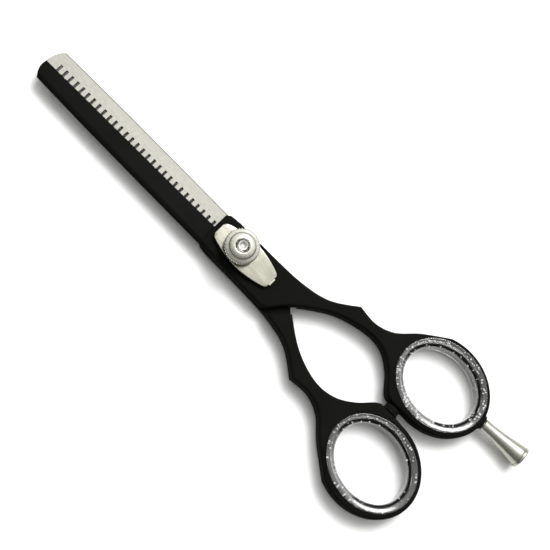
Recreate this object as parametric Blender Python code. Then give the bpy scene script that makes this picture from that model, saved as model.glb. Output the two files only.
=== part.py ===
"""Thinning shears: two forged halves on a screw pivot, with ring inserts, bumper and finger rest.

The frame: the origin is under the pivot, on the surface that the shears lie on. The pivot axis is
+Z, the blade tips point along +X, and the thumb side is +Y. The straight half lies above the plane
where the halves meet. The toothed half lies below it, turned over about the X axis, so both halves
are drawn in one half frame: blade towards +X, handle on the -Y side, outer face up, and height 0
in the meeting plane. Sizes are in millimetres, and MM turns them into metres.
"""
import math

import bmesh
import bpy
from mathutils import Matrix, Vector

MM = 0.001

# ---- heights -----------------------------------------------------------------------------------
FIT_GAP = 0.3              # clearance between touching pieces
INNER_FACE = FIT_GAP / 2   # height of a half's inner face above the meeting plane
OUTER_FACE = 2.4           # height of a half's outer face above the meeting plane
LIP_THICK = 0.9            # lips of the ring inserts, and head of the pivot screw
MEETING_Z = OUTER_FACE + FIT_GAP + LIP_THICK   # where the halves meet, above what they lie on
EDGE_IN = 0.8              # how far the bevelled edges of the handles reach in
EDGE_DOWN = 1.0            # and how far down
BELOW = 0.6                # a blade is drawn this far below the inner face, then cut flush with it
BEYOND = 4.0               # cutters reach this far past what they cut

# ---- pivot plate and handle outline, in the half frame ------------------------------------------
MIDLINE_Y = 0.4            # the shears' middle line runs this far beside the pivot
PLATE_SIDE_Y = 6.1         # the plate's free side
CHOIL_X = 9.0              # where the plate ends and the blade begins
CROTCH_X = -16.0           # where the plate's free side ends and the slanted edge begins
CROTCH_Y = -5.2
APEX_X = -20.9             # where the two slanted edges cross
APEX_Y = 0.3
CHAMFERED_CHOIL = [(CHOIL_X, -4.9), (7.8, -5.8)]
RISER_GAP = 2.1            # from a slanted edge to the other half's riser
RISER_REACH = 25.0         # half the length of the cut along the riser
RING_ARC = (math.radians(-66.0), math.radians(-272.0))   # the part of the ring that the outline follows
# from the plate along the outer side to the knuckle corner
OUTER_FRONT = [(4.8, -6.1), (-9.0, -6.15), (-18.5, -6.7), (-26.6, -8.7), (-33.9, -13.8)]
# from the knuckle corner towards the ring
OUTER_REAR = [(-33.9, -13.8), (-40.0, -13.4), (-45.4, -15.5), (-50.7, -20.6)]
KNUCKLE_BEFORE = (-31.5, -14.2)    # steer the curves that meet in the knuckle corner
KNUCKLE_AFTER = (-36.5, -16.5)

# ---- handles: ring centre, outside half axes, turn of the long axis, teardrop side ---------------
HANDLES = {
    "straight": {
        "centre": (-64.1, -14.05), "outer": (15.3, 12.95), "turn": 0.0,
        "teardrop": [(-60.5, -1.1), (-56.9, -1.1), (-54.8, -2.1), (-50.5, -6.9), (-45.3, -9.9),
                     (-38.7, -9.8), (-30.0, -6.9), (-20.9, -0.3), (-16.0, 5.4)]},
    "toothed": {
        "centre": (-64.6, -14.75), "outer": (15.3, 13.3), "turn": math.radians(10.0),
        "teardrop": [(-60.5, -1.15), (-56.9, -1.1), (-54.6, -1.9), (-50.5, -6.0), (-45.3, -9.1),
                     (-38.7, -9.7), (-30.0, -6.8), (-20.9, -0.3), (-16.0, 5.4)]},
}
RING_BORE = (12.7, 10.4)       # half axes of the hole that an insert sits in
LIP_OUTER = (13.9, 11.6)       # half axes of an insert's lips
INSERT_HOLE = (11.4, 9.2)      # half axes of the finger hole
# an insert's funnel: distance outside the hole's edge, and depth below the lip's crest
INSERT_FUNNEL = [(0.0, 1.6), (0.3, 0.95), (0.9, 0.3), (1.4, 0.0)]
INSERT_ROUND = 0.35            # rounding of the lips' outer edges

# ---- blades --------------------------------------------------------------------------------------
BLADE_ROOT_X = 2.0
TIP_X = 72.0
BLADE_STATIONS = [0.0, 0.25, 0.5, 0.75, 0.97, 1.0]   # shares of the blade's length
SPINE_TAPER = 0.45             # how far the spine comes in towards the tip
NOSE = 0.75                    # share of its height that the blade keeps at the very tip
EDGE_LAND = 0.3                # thickness at the cutting edge
SPINE_Y = 5.8
RIDGE_ROOT = (4.9, 2.3)        # y and height of the ridge at the root, and at the tip
RIDGE_TIP = (4.3, 1.9)
SPINE_TOP = (1.4, 1.1)         # height of the spine wall at the root and at the tip
STRAIGHT_EDGE = (-0.75, 0.16)  # y of the cutting edge at the root and at the tip
TOOTHED_EDGE = (-1.3, -1.1)    # y of the tooth tips at the root and at the tip
SLOT_COUNT = 29
SLOT_FIRST_X = 9.9
SLOT_PITCH = 2.077
SLOT_WIDTH = 0.77
SLOT_ROOT_Y = 2.1

# ---- pivot ---------------------------------------------------------------------------------------
SCREW_HEAD_R = 4.6
SHANK_R = 2.0
THREAD_R = 1.5
SPANNER_HOLE = (2.6, 0.6, 0.7)     # distance from the axis, radius and depth of the head's two holes
STUD_TOP = MEETING_Z + 8.8
BORE_R = SHANK_R + FIT_GAP
WASHER_R = 4.2
WASHER_RECESS = 0.9
BUSH_R = 2.8
PLATE_ENDS = (7.6, -12.0)      # the leaf spring's two ends along X
PLATE_END_HALF = 2.3
PLATE_MID_HALF = 4.35
PLATE_THICK = 0.8
PLATE_ARCH = 0.4
PLATE_BASE = MEETING_Z + OUTER_FACE + FIT_GAP
TAB_HALF = 1.1
TAB_REACH = 0.45
TAB_DROP = 0.8
NUT_BASE = MEETING_Z + 5.5
NUT_R = 4.86
NUT_H = 2.9
NUT_HOLE_R = 1.9
KNURL_COUNT = 40
KNURL_DEPTH = 0.2
# the nut's stepped dome: radius, and depth below its top
NUT_DOME = [(NUT_R, 1.0), (4.5, 0.8), (3.65, 0.53), (3.45, 0.36), (2.4, 0.0)]
PLATE_WASHER_R = 3.9

# ---- bumper and finger rest ------------------------------------------------------------------------
BUMPER_X = -59.15
BUMPER_START_Y = 3.2
BUMPER_STEM_R = 1.0
BUMPER_STEM_L = 1.6
BUMPER_FLANGE_R = 2.5
BUMPER_FLANGE_L = 0.5
BUMPER_NOSE_R = 2.2
BUMPER_L = 3.6
REST_AXIS_START = (-80.1, -15.2)
REST_AXIS_TURN = math.radians(184.0)
REST_LENGTH = 14.0
REST_NECK_R = 1.78             # radius of the plain neck
REST_NECK = 0.15               # share of the length that the neck takes
REST_FLARE = 1.3               # how much the radius grows from the neck to the rim
REST_RIM_R = 3.15
REST_RIM_L = 0.9
REST_STUD_R = 1.0
REST_STUD_L = 3.0
BOSS_R = 2.2
BOSS_L = 3.6

RING_STEPS = 56
ROUND_STEPS = 32
FITTING_STEPS = 24


# ---- small geometry helpers ------------------------------------------------------------------------
def smooth_path(points, before, after, steps=5):
    """Points along a smooth curve through the given ones. before and after steer its two ends."""
    path = []
    line = [before] + list(points) + [after]
    for a, b, c, d in zip(line, line[1:], line[2:], line[3:]):
        for step in range(steps):
            t = step / steps
            path.append(tuple(
                0.5 * (2 * b[k] + (c[k] - a[k]) * t
                       + (2 * a[k] - 5 * b[k] + 4 * c[k] - d[k]) * t ** 2
                       + (3 * b[k] - a[k] - 3 * c[k] + d[k]) * t ** 3)
                for k in range(2)))
    path.append(tuple(points[-1]))
    return path


def ellipse(centre, half_axes, turn, start=0.0, end=2 * math.pi, steps=RING_STEPS):
    """Points on an ellipse from one angle to another, without the end of a whole turn."""
    whole = abs(abs(end - start) - 2 * math.pi) < 1e-6
    count = steps if whole else steps + 1
    points = []
    for step in range(count):
        angle = start + (end - start) * step / steps
        x = half_axes[0] * math.cos(angle)
        y = half_axes[1] * math.sin(angle)
        points.append((centre[0] + x * math.cos(turn) - y * math.sin(turn),
                       centre[1] + x * math.sin(turn) + y * math.cos(turn)))
    return points


def inset(loop, distance):
    """The loop moved inwards (for a counterclockwise loop) by a distance, corners mitred."""
    moved = []
    for before, here, after in zip(loop[-1:] + loop[:-1], loop, loop[1:] + loop[:1]):
        a = Vector((here[0] - before[0], here[1] - before[1])).normalized()
        b = Vector((after[0] - here[0], after[1] - here[1])).normalized()
        normal = Vector((-a.y - b.y, a.x + b.x)).normalized()
        reach = distance / max(0.5, normal.dot(Vector((-a.y, a.x))))
        moved.append((here[0] + normal.x * reach, here[1] + normal.y * reach))
    return moved


def area(loop):
    return 0.5 * sum(a[0] * b[1] - b[0] * a[1] for a, b in zip(loop, loop[1:] + loop[:1]))


def material(name, colour, roughness, metallic, transmission=0.0):
    made = bpy.data.materials.new(name)
    made.use_nodes = True
    shader = made.node_tree.nodes["Principled BSDF"]
    shader.inputs["Base Color"].default_value = (*colour, 1.0)
    shader.inputs["Roughness"].default_value = roughness
    shader.inputs["Metallic"].default_value = metallic
    shader.inputs["Transmission Weight"].default_value = transmission
    made.diffuse_color = (*colour, 1.0)
    return made


def finish_mesh(bm, name, look=None, smooth_angle=None):
    """Turns a bmesh drawn in millimetres into an object in metres."""
    bmesh.ops.remove_doubles(bm, verts=bm.verts, dist=1e-4)
    bmesh.ops.recalc_face_normals(bm, faces=bm.faces)
    bmesh.ops.scale(bm, vec=(MM, MM, MM), verts=bm.verts)
    mesh = bpy.data.meshes.new(name)
    bm.to_mesh(mesh)
    bm.free()
    if smooth_angle is not None:
        mesh.shade_smooth()
        mesh.set_sharp_from_angle(angle=math.radians(smooth_angle))
    obj = bpy.data.objects.new(name, mesh)
    bpy.context.scene.collection.objects.link(obj)
    if look is not None:
        mesh.materials.append(look)
    return obj


def slab(name, loops, low, high, edge_in=0.0, edge_down=0.0, look=None):
    """A plate between two heights. The first loop is its outline and the others are holes."""
    bm = bmesh.new()
    caps = {"low": [], "high": []}
    for index, loop in enumerate(loops):
        counterclockwise = area(loop) > 0
        loop = loop if counterclockwise == (index == 0) else loop[::-1]
        narrow = inset(loop, edge_in) if edge_in else loop
        levels = [(narrow, low), (loop, low + edge_down), (loop, high - edge_down), (narrow, high)]
        if not edge_in:
            levels = [(loop, low), (loop, high)]
        rows = [[bm.verts.new((x, y, z)) for x, y in points] for points, z in levels]
        for lower, upper in zip(rows, rows[1:]):
            for k in range(len(lower)):
                n = (k + 1) % len(lower)
                bm.faces.new((lower[k], lower[n], upper[n], upper[k]))
        for key, row in (("low", rows[0]), ("high", rows[-1])):
            caps[key] += [bm.edges.get((row[k], row[(k + 1) % len(row)])) for k in range(len(row))]
    for edges in caps.values():
        bmesh.ops.triangle_fill(bm, use_beauty=True, use_dissolve=False, edges=edges)
    return finish_mesh(bm, name, look)


def turned(name, profile, look=None, steps=ROUND_STEPS, smooth_angle=40.0):
    """A solid of revolution about Z from a closed (radius, height) profile."""
    bm = bmesh.new()
    rows = []
    for step in range(steps):
        angle = 2 * math.pi * step / steps
        rows.append([bm.verts.new((r * math.cos(angle), r * math.sin(angle), z)) for r, z in profile])
    for a, b in zip(rows, rows[1:] + rows[:1]):
        for k in range(len(profile)):
            n = (k + 1) % len(profile)
            corners = [a[k], b[k], b[n], a[n]]
            if profile[k][0] == 0.0 and profile[n][0] == 0.0:
                continue
            if profile[k][0] == 0.0:
                corners = [a[k], b[n], a[n]]
            elif profile[n][0] == 0.0:
                corners = [a[k], b[k], a[n]]
            bm.faces.new(corners)
    return finish_mesh(bm, name, look, smooth_angle)


def carve(target, tool, operation="DIFFERENCE"):
    """Cuts the tool from the target, or joins it on, and keeps the tool hidden."""
    tool.hide_render = True
    tool.display_type = "WIRE"
    step = target.modifiers.new(operation.title(), "BOOLEAN")
    step.operation = operation
    step.solver = "EXACT"
    step.object = tool


# ---- the halves ------------------------------------------------------------------------------------
def handle_outline(ring):
    """The plan outline of plate, shank and ring, in the half frame."""
    around = ellipse(ring["centre"], ring["outer"], ring["turn"],
                     RING_ARC[0] - ring["turn"], RING_ARC[1] - ring["turn"], 40)
    front = smooth_path(OUTER_FRONT, (12.0, -6.1), KNUCKLE_AFTER, 4)
    rear = smooth_path(OUTER_REAR + around[:1], KNUCKLE_BEFORE, around[1], 4)
    inner = smooth_path([around[-1]] + ring["teardrop"], around[-2], (-12.0, 9.5), 4)
    free_side = [(-14.6, PLATE_SIDE_Y), (3.0, PLATE_SIDE_Y), (CHOIL_X, SPINE_Y - 0.5)]
    return front[:-1] + rear[:-1] + around[:-1] + inner + free_side + CHAMFERED_CHOIL


def blade(name, edge, tip_end):
    """A blade lofted from root to tip. Its underside reaches below the inner face, to be cut flush."""
    bm = bmesh.new()
    rows = []
    for t in BLADE_STATIONS:
        edge_y = edge[0] + (edge[1] - edge[0]) * t
        ridge_y = RIDGE_ROOT[0] + (RIDGE_TIP[0] - RIDGE_ROOT[0]) * t
        spine_y = SPINE_Y - SPINE_TAPER * t ** 4
        nose = NOSE if t == 1.0 else 1.0
        ridge_h = nose * (RIDGE_ROOT[1] + (RIDGE_TIP[1] - RIDGE_ROOT[1]) * t)
        spine_h = nose * (SPINE_TOP[0] + (SPINE_TOP[1] - SPINE_TOP[0]) * t)
        edge_h = INNER_FACE + EDGE_LAND
        section = [(edge_y, -BELOW), (edge_y, edge_h)]
        for share in (0.33, 0.67, 1.0):
            section.append((edge_y + (ridge_y - edge_y) * share, edge_h + (ridge_h - edge_h) * share))
        section += [(spine_y, spine_h), (spine_y, -BELOW)]
        for share in (0.67, 0.33):
            section.append((edge_y + (spine_y - edge_y) * share, -BELOW))
        rows.append([bm.verts.new((BLADE_ROOT_X + (tip_end(y) - BLADE_ROOT_X) * t, y, h))
                     for y, h in section])
    for a, b in zip(rows, rows[1:]):
        for k in range(len(a)):
            n = (k + 1) % len(a)
            bm.faces.new((a[k], a[n], b[n], b[k]))
    bm.faces.new(rows[0][::-1])
    bm.faces.new(rows[-1])
    bmesh.ops.triangulate(bm, faces=bm.faces)
    return finish_mesh(bm, name)


def straight_tip(y):
    """Where the straight blade ends, for a distance y from the shears' middle line."""
    return TIP_X - 0.1 - 0.10 * (y - 1.2) ** 2 * (1.0 if y > 1.2 else 0.3)


def toothed_tip(y):
    """Where the toothed blade ends. It is rounder on its spine side."""
    return TIP_X - 0.055 * max(0.0, y + 0.3) ** 2 - 0.35 * max(0.0, y - 4.3) ** 2


def half(name, ring, edge, tip_end, look):
    """One forged half in the half frame: handle slab, blade, undercut, bore."""
    body = slab(name, [handle_outline(ring), ellipse(ring["centre"], RING_BORE, ring["turn"])],
                -OUTER_FACE, OUTER_FACE, EDGE_IN, EDGE_DOWN, look)
    carve(body, blade(name + "_blade_tool", edge, tip_end), "UNION")
    return body


def undercut(name):
    """Everything below the inner face, from the tips back to the slanted riser."""
    slope = Vector((APEX_X - CROTCH_X, APEX_Y - CROTCH_Y)).normalized()
    start = Vector((CROTCH_X, CROTCH_Y)) + Vector((-slope.y, slope.x)) * RISER_GAP
    far_in = start + slope * RISER_REACH
    far_out = start - slope * RISER_REACH
    past_tip = TIP_X + BEYOND
    loop = [tuple(far_out), (past_tip, far_out.y), (past_tip, far_in.y), tuple(far_in)]
    return slab(name, [loop], -OUTER_FACE - BEYOND, INNER_FACE)


def rod(name, radius, low, high, x=0.0, y=0.0):
    """A plain round cutter standing along Z."""
    tool = turned(name, [(0.0, low), (radius, low), (radius, high), (0.0, high)])
    tool.location = (x * MM, y * MM, 0.0)
    return tool


def box(name, x_range, y_range, z_range):
    loop = [(x_range[0], y_range[0]), (x_range[1], y_range[0]),
            (x_range[1], y_range[1]), (x_range[0], y_range[1])]
    return slab(name, [loop], z_range[0], z_range[1])


def place_half(obj, tools, turned_over):
    """Puts a half, and the tools that shape it, from the half frame into the shears' frame."""
    seat = bpy.data.objects.new(obj.name + "_seat", None)
    bpy.context.scene.collection.objects.link(seat)
    seat.location = (0.0, MIDLINE_Y * MM, MEETING_Z * MM)
    if turned_over:
        seat.rotation_euler = (math.pi, 0.0, 0.0)
    for piece in [obj] + tools:
        piece.parent = seat


def finger_rest_frame():
    """Matrix that lays a solid turned about Z along the finger rest's axis."""
    away = Vector((math.cos(REST_AXIS_TURN), math.sin(REST_AXIS_TURN), 0.0))
    place = Vector((REST_AXIS_START[0], REST_AXIS_START[1], MEETING_Z)) * MM
    return Matrix.Translation(place) @ away.to_track_quat("Z", "Y").to_matrix().to_4x4()


def bumper_frame():
    """Matrix that points a solid turned about Z from the thumb ring to the finger ring."""
    place = Vector((BUMPER_X, BUMPER_START_Y, MEETING_Z)) * MM
    return Matrix.Translation(place) @ Matrix.Rotation(math.pi / 2, 4, "X")


def make_straight_half(look):
    obj = half("straight_blade_half", HANDLES["straight"], STRAIGHT_EDGE, straight_tip, look)
    tools = [bpy.data.objects[obj.name + "_blade_tool"]]
    tools.append(undercut("straight_undercut_tool"))
    tools.append(rod("straight_bore_tool", BUSH_R + FIT_GAP, -BEYOND, BEYOND, y=-MIDLINE_Y))
    tab_x = PLATE_ENDS[1] - TAB_REACH
    tools.append(box("tab_slot_tool", (tab_x - FIT_GAP, tab_x + TAB_REACH + FIT_GAP),
                     (-TAB_HALF - FIT_GAP - MIDLINE_Y, TAB_HALF + FIT_GAP - MIDLINE_Y),
                     (OUTER_FACE - TAB_DROP - 0.1, BEYOND)))
    for tool in tools[1:]:
        carve(obj, tool)
    place_half(obj, tools, turned_over=False)
    boss = turned("rest_boss_tool", [
        (0.0, -BOSS_L), (BOSS_R, -BOSS_L), (BOSS_R, -0.6), (BOSS_R - 0.3, -FIT_GAP), (0.0, -FIT_GAP)],
        steps=FITTING_STEPS)
    hole_r, hole_l = REST_STUD_R + FIT_GAP, REST_STUD_L + FIT_GAP
    hole = turned("rest_hole_tool", [
        (0.0, -hole_l), (hole_r, -hole_l), (hole_r, BEYOND), (0.0, BEYOND)], steps=FITTING_STEPS)
    for tool in (boss, hole):
        tool.matrix_world = finger_rest_frame()
    carve(obj, boss, "UNION")
    carve(obj, hole)
    return obj


def make_toothed_half(look):
    obj = half("toothed_blade_half", HANDLES["toothed"], TOOTHED_EDGE, toothed_tip, look)
    tools = [bpy.data.objects[obj.name + "_blade_tool"]]
    tools.append(undercut("toothed_undercut_tool"))
    tools.append(rod("toothed_bore_tool", BORE_R, -BEYOND, BEYOND, y=MIDLINE_Y))
    tools.append(rod("washer_recess_tool", WASHER_R + FIT_GAP, -BEYOND, INNER_FACE + WASHER_RECESS,
                     y=MIDLINE_Y))
    for index in range(SLOT_COUNT):
        x = SLOT_FIRST_X + index * SLOT_PITCH
        tools.append(box("slot_tool_%02d" % (index + 1), (x - SLOT_WIDTH / 2, x + SLOT_WIDTH / 2),
                         (-BEYOND, SLOT_ROOT_Y), (-BEYOND, BEYOND)))
    for tool in tools[1:]:
        carve(obj, tool)
    place_half(obj, tools, turned_over=True)
    stem, flange = BUMPER_STEM_R + FIT_GAP, BUMPER_FLANGE_R + FIT_GAP
    step_at = BUMPER_STEM_L - FIT_GAP
    seat = turned("bumper_seat_tool", [
        (0.0, -FIT_GAP), (stem, -FIT_GAP), (stem, step_at), (flange, step_at), (flange, BEYOND),
        (0.0, BEYOND)], steps=FITTING_STEPS)
    seat.matrix_world = bumper_frame()
    carve(obj, seat)
    return obj


# ---- the pivot ---------------------------------------------------------------------------------------
def make_pivot_screw(look):
    head_edge = 0.3
    profile = [(0.0, 0.0), (SCREW_HEAD_R - head_edge, 0.0), (SCREW_HEAD_R, head_edge),
               (SCREW_HEAD_R, LIP_THICK), (SHANK_R, LIP_THICK), (SHANK_R, NUT_BASE - 0.4),
               (THREAD_R, NUT_BASE - 0.1), (THREAD_R, STUD_TOP - 0.3), (THREAD_R - 0.3, STUD_TOP),
               (0.5, STUD_TOP), (0.0, STUD_TOP - 0.4)]
    obj = turned("pivot_screw", profile, look)
    reach, radius, depth = SPANNER_HOLE
    for index, x in enumerate((-reach, reach)):
        carve(obj, rod("spanner_hole_tool_%d" % (index + 1), radius, -1.0, depth, x))
    return obj


def ring_profile(inner, outer, low, high):
    return [(inner, low), (outer, low), (outer, high), (inner, high)]


def make_glide_washer(look):
    top = MEETING_Z - INNER_FACE
    low = top - WASHER_RECESS + FIT_GAP
    return turned("glide_washer", ring_profile(BORE_R, WASHER_R, low, top), look)


def make_pivot_bush(look):
    low = MEETING_Z + INNER_FACE
    return turned("pivot_bush", ring_profile(BORE_R, BUSH_R, low, MEETING_Z + OUTER_FACE), look)


def plate_rise(x):
    """How far the leaf spring's arch lifts it above its ends."""
    middle = (PLATE_ENDS[0] + PLATE_ENDS[1]) / 2
    half_length = (PLATE_ENDS[0] - PLATE_ENDS[1]) / 2
    return PLATE_ARCH * max(0.0, 1.0 - ((x - middle) / half_length) ** 2)


def plate_half_width(x):
    """Half the leaf spring's width, widest under the nut."""
    t = (x - PLATE_ENDS[1]) / (PLATE_ENDS[0] - PLATE_ENDS[1])
    return PLATE_END_HALF + (PLATE_MID_HALF - PLATE_END_HALF) * max(0.0, math.sin(math.pi * t)) ** 0.8


def make_tension_plate(look):
    """The leaf spring: an arched strip with curved sides, and a tab bent into the straight half."""
    bm = bmesh.new()
    rows = []
    steps = 16
    for step in range(steps + 1):
        x = PLATE_ENDS[0] + (PLATE_ENDS[1] - PLATE_ENDS[0]) * step / steps
        half_width = plate_half_width(x)
        low = PLATE_BASE + plate_rise(x)
        rows.append([bm.verts.new((x, y, z)) for y, z in (
            (-half_width, low), (half_width, low), (half_width, low + PLATE_THICK),
            (-half_width, low + PLATE_THICK))])
    for a, b in zip(rows, rows[1:]):
        for k in range(4):
            n = (k + 1) % 4
            bm.faces.new((a[k], b[k], b[n], a[n]))
    bm.faces.new(rows[0])
    bm.faces.new(rows[-1][::-1])
    obj = finish_mesh(bm, "tension_plate", look)
    end = PLATE_ENDS[1]
    carve(obj, box("tab_tool", (end - TAB_REACH, end + 0.5), (-TAB_HALF, TAB_HALF),
                   (PLATE_BASE - TAB_DROP, PLATE_BASE + PLATE_THICK - 0.1)), "UNION")
    carve(obj, box("tab_trim_tool", (end, end + 2.0), (-TAB_HALF - 1.0, TAB_HALF + 1.0),
                   (PLATE_BASE - 3.0, PLATE_BASE)))
    carve(obj, rod("plate_hole_tool", BORE_R, PLATE_BASE - 1.0, PLATE_BASE + BEYOND))
    return obj


def make_plate_washer(look):
    low = PLATE_BASE + PLATE_ARCH + PLATE_THICK + FIT_GAP
    return turned("plate_washer", ring_profile(BORE_R, PLATE_WASHER_R, low, NUT_BASE - FIT_GAP), look)


def make_thumb_nut(look):
    """A round nut with a knurled rim and a stepped dome around the stud's hole."""
    bm = bmesh.new()
    top = NUT_BASE + NUT_H
    profile = [(NUT_HOLE_R, NUT_BASE), (NUT_R - 0.5, NUT_BASE), (NUT_R, NUT_BASE + 0.4)]
    profile += [(r, top - depth) for r, depth in NUT_DOME] + [(NUT_HOLE_R, top)]
    steps = KNURL_COUNT * 2
    rows = []
    for step in range(steps):
        angle = 2 * math.pi * step / steps
        row = []
        for r, z in profile:
            grip = KNURL_DEPTH if (r == NUT_R and step % 2) else 0.0
            row.append(bm.verts.new(((r - grip) * math.cos(angle), (r - grip) * math.sin(angle), z)))
        rows.append(row)
    for a, b in zip(rows, rows[1:] + rows[:1]):
        for k in range(len(profile)):
            n = (k + 1) % len(profile)
            bm.faces.new((a[k], b[k], b[n], a[n]))
    return finish_mesh(bm, "thumb_nut", look, 25.0)


# ---- inserts, bumper, finger rest --------------------------------------------------------------------
def make_insert(name, ring, turned_over, look):
    """A spool-shaped ring insert: a sleeve in the bore, a lip over each face, funnelled to the hole."""
    side = -1.0 if turned_over else 1.0
    centre = (ring["centre"][0], MIDLINE_Y + side * ring["centre"][1])
    turn = side * ring["turn"]
    sleeve = (RING_BORE[0] - FIT_GAP, RING_BORE[1] - FIT_GAP)
    crest = (LIP_OUTER[0] - INSERT_ROUND, LIP_OUTER[1] - INSERT_ROUND)
    lower = [((INSERT_HOLE[0] + reach, INSERT_HOLE[1] + reach), depth)
             for reach, depth in INSERT_FUNNEL]
    lower += [(crest, 0.0), (LIP_OUTER, INSERT_ROUND), (LIP_OUTER, LIP_THICK), (sleeve, LIP_THICK)]
    section = lower + [(half_axes, 2 * MEETING_Z - z) for half_axes, z in reversed(lower)]
    bm = bmesh.new()
    rows = []
    for half_axes, z in section:
        rows.append([bm.verts.new((x, y, z)) for x, y in ellipse(centre, half_axes, turn)])
    for a, b in zip(rows, rows[1:] + rows[:1]):
        for k in range(len(a)):
            n = (k + 1) % len(a)
            bm.faces.new((a[k], b[k], b[n], a[n]))
    return finish_mesh(bm, name, look, 35.0)


def make_bumper(look):
    """A rubber stop: a stem and flange in the thumb ring, and a domed nose towards the finger ring."""
    flange_top = BUMPER_STEM_L + BUMPER_FLANGE_L
    profile = [(0.0, 0.0), (BUMPER_STEM_R, 0.0), (BUMPER_STEM_R, BUMPER_STEM_L),
               (BUMPER_FLANGE_R, BUMPER_STEM_L), (BUMPER_FLANGE_R, flange_top),
               (BUMPER_NOSE_R, flange_top), (BUMPER_NOSE_R, BUMPER_L - 0.4),
               (BUMPER_NOSE_R - 0.4, BUMPER_L - 0.1), (0.0, BUMPER_L)]
    obj = turned("bumper", profile, look, steps=FITTING_STEPS)
    obj.matrix_world = bumper_frame()
    return obj


def rest_radius(share):
    """The finger rest's radius along its length: a plain neck, then a trumpet's flare."""
    past_neck = max(0.0, share - REST_NECK) / (1.0 - REST_NECK)
    return REST_NECK_R + REST_FLARE * past_neck ** 1.5


def make_finger_rest(look):
    steps = 10
    rim_at = REST_LENGTH - REST_RIM_L
    profile = [(0.0, -REST_STUD_L), (REST_STUD_R, -REST_STUD_L), (REST_STUD_R, 0.0)]
    profile += [(rest_radius(step / steps), rim_at * step / steps) for step in range(steps + 1)]
    profile += [(REST_RIM_R, rim_at), (REST_RIM_R, REST_LENGTH - 0.2), (REST_RIM_R - 0.2, REST_LENGTH),
                (0.0, REST_LENGTH)]
    obj = turned("finger_rest", profile, look, steps=FITTING_STEPS)
    obj.matrix_world = finger_rest_frame()
    return obj


def main():
    for obj in list(bpy.data.objects):
        bpy.data.objects.remove(obj)
    make_straight_half(material("black_coat_upper", (0.012, 0.012, 0.011), 0.45, 0.3))
    make_toothed_half(material("black_coat_lower", (0.012, 0.012, 0.011), 0.45, 0.3))
    make_pivot_screw(material("screw_steel", (0.62, 0.61, 0.57), 0.3, 1.0))
    make_glide_washer(material("washer_nylon", (0.75, 0.74, 0.70), 0.5, 0.0))
    make_pivot_bush(material("bush_nylon", (0.70, 0.69, 0.64), 0.5, 0.0))
    make_tension_plate(material("spring_nickel", (0.75, 0.73, 0.66), 0.2, 1.0))
    make_plate_washer(material("washer_steel", (0.6, 0.6, 0.57), 0.3, 1.0))
    make_thumb_nut(material("nut_chrome", (0.78, 0.76, 0.70), 0.15, 1.0))
    make_insert("finger_ring_insert", HANDLES["straight"], False,
                material("clear_silicone_finger", (0.85, 0.86, 0.86), 0.15, 0.0, 0.8))
    make_insert("thumb_ring_insert", HANDLES["toothed"], True,
                material("clear_silicone_thumb", (0.85, 0.86, 0.86), 0.15, 0.0, 0.8))
    make_bumper(material("black_rubber", (0.01, 0.01, 0.01), 0.6, 0.0))
    make_finger_rest(material("rest_chrome", (0.78, 0.76, 0.70), 0.2, 1.0))


main()
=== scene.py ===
"""Thinning shears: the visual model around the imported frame.

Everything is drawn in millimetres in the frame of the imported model: the origin is under the pivot on
the surface that the shears lie on, the pivot axis is +Z, the tips point along +X and the thumb side
is +Y. A half is drawn in its own frame first (outer face up, height 0 in the plane where the halves
meet) and then moved into place, the toothed half turned over about X.
"""
import math
import random

import bmesh
import bpy
from mathutils import Matrix, Vector

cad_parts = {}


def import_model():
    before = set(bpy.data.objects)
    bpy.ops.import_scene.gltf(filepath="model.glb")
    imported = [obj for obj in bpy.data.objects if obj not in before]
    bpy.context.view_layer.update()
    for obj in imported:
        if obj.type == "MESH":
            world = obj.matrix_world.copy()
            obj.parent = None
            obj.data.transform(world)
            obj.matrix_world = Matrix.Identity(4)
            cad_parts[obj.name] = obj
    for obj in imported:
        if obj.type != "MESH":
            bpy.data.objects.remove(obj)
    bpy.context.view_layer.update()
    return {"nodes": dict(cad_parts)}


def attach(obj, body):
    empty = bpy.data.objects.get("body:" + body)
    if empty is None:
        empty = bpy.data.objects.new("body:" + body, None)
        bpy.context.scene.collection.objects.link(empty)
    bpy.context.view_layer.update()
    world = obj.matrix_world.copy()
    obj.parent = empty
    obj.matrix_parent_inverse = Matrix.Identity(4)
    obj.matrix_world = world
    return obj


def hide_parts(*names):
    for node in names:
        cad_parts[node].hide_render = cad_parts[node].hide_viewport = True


MM = 0.001

# ---- heights -----------------------------------------------------------------------------------
FIT_GAP = 0.3
INNER_FACE = FIT_GAP / 2
OUTER_FACE = 2.4
LIP_THICK = 0.9
MEETING_Z = OUTER_FACE + FIT_GAP + LIP_THICK
EDGE_IN = 0.8
EDGE_DOWN = 1.0

# ---- plate and handle outlines, in the half frame -------------------------------------------------
MIDLINE_Y = 0.4
PLATE_SIDE_Y = 6.1
CHOIL_X = 9.0
CROTCH_X = -16.0
CROTCH_Y = -5.2
APEX_X = -20.9
APEX_Y = 0.3
CHAMFERED_CHOIL = [(CHOIL_X, -4.9), (7.8, -5.8)]
RISER_GAP = 2.1
OUTER_FRONT = [(4.8, -6.1), (-9.0, -6.15), (-18.5, -6.7), (-26.6, -8.7), (-33.9, -13.8)]
OUTER_REAR = [(-33.9, -13.8), (-40.0, -13.4), (-45.4, -15.5), (-50.7, -20.6)]
KNUCKLE_BEFORE = (-31.5, -14.2)
KNUCKLE_AFTER = (-36.5, -16.5)
RING_ARC = (math.radians(-66.0), math.radians(-272.0))     # the plain part of a ring's outline
RING_STEPS = 110
PLATE_FRONT_BEFORE = (12.0, -6.1)                          # steers the curve that leaves the choil
TEARDROP_AFTER = (-12.0, 9.5)                              # steers the curve that ends at the crotch
FREE_SIDE_X = (-14.6, 3.0)
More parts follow.
